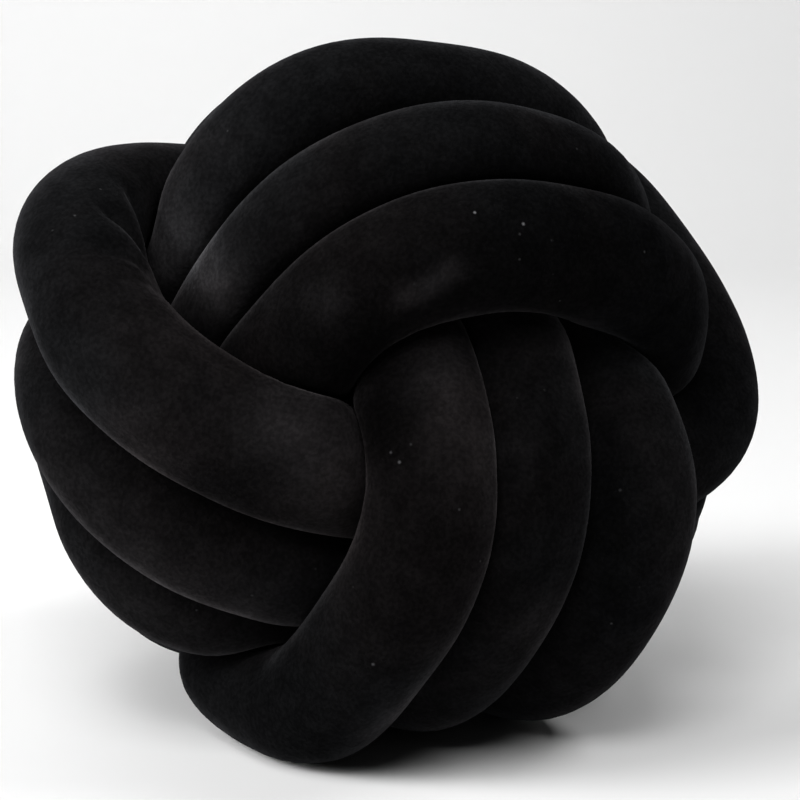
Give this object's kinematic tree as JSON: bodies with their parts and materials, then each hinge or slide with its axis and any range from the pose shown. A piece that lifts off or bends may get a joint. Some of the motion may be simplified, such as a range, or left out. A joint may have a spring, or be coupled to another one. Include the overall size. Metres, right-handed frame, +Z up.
{
  "type": "knot cushion",
  "caption": "Round knot cushion: a stuffed velvet tube closed on itself and wound into a woven ball.",
  "frame": {"origin": "centre of the bounding box's bottom, on the surface that the cushion lies on", "axes": "+Z up; -Y towards the side on which the three bands meet in a whirl; +X to the right of that side"},
  "size_m": [0.2984, 0.2908, 0.2676],
  "materials": {
    "velvet": "near-black velvet with a short, slightly brushed pile and a soft pale sheen at its rims"
  },
  "bodies": {
    "root": {"tube": "velvet"}
  },
  "joints": []
}
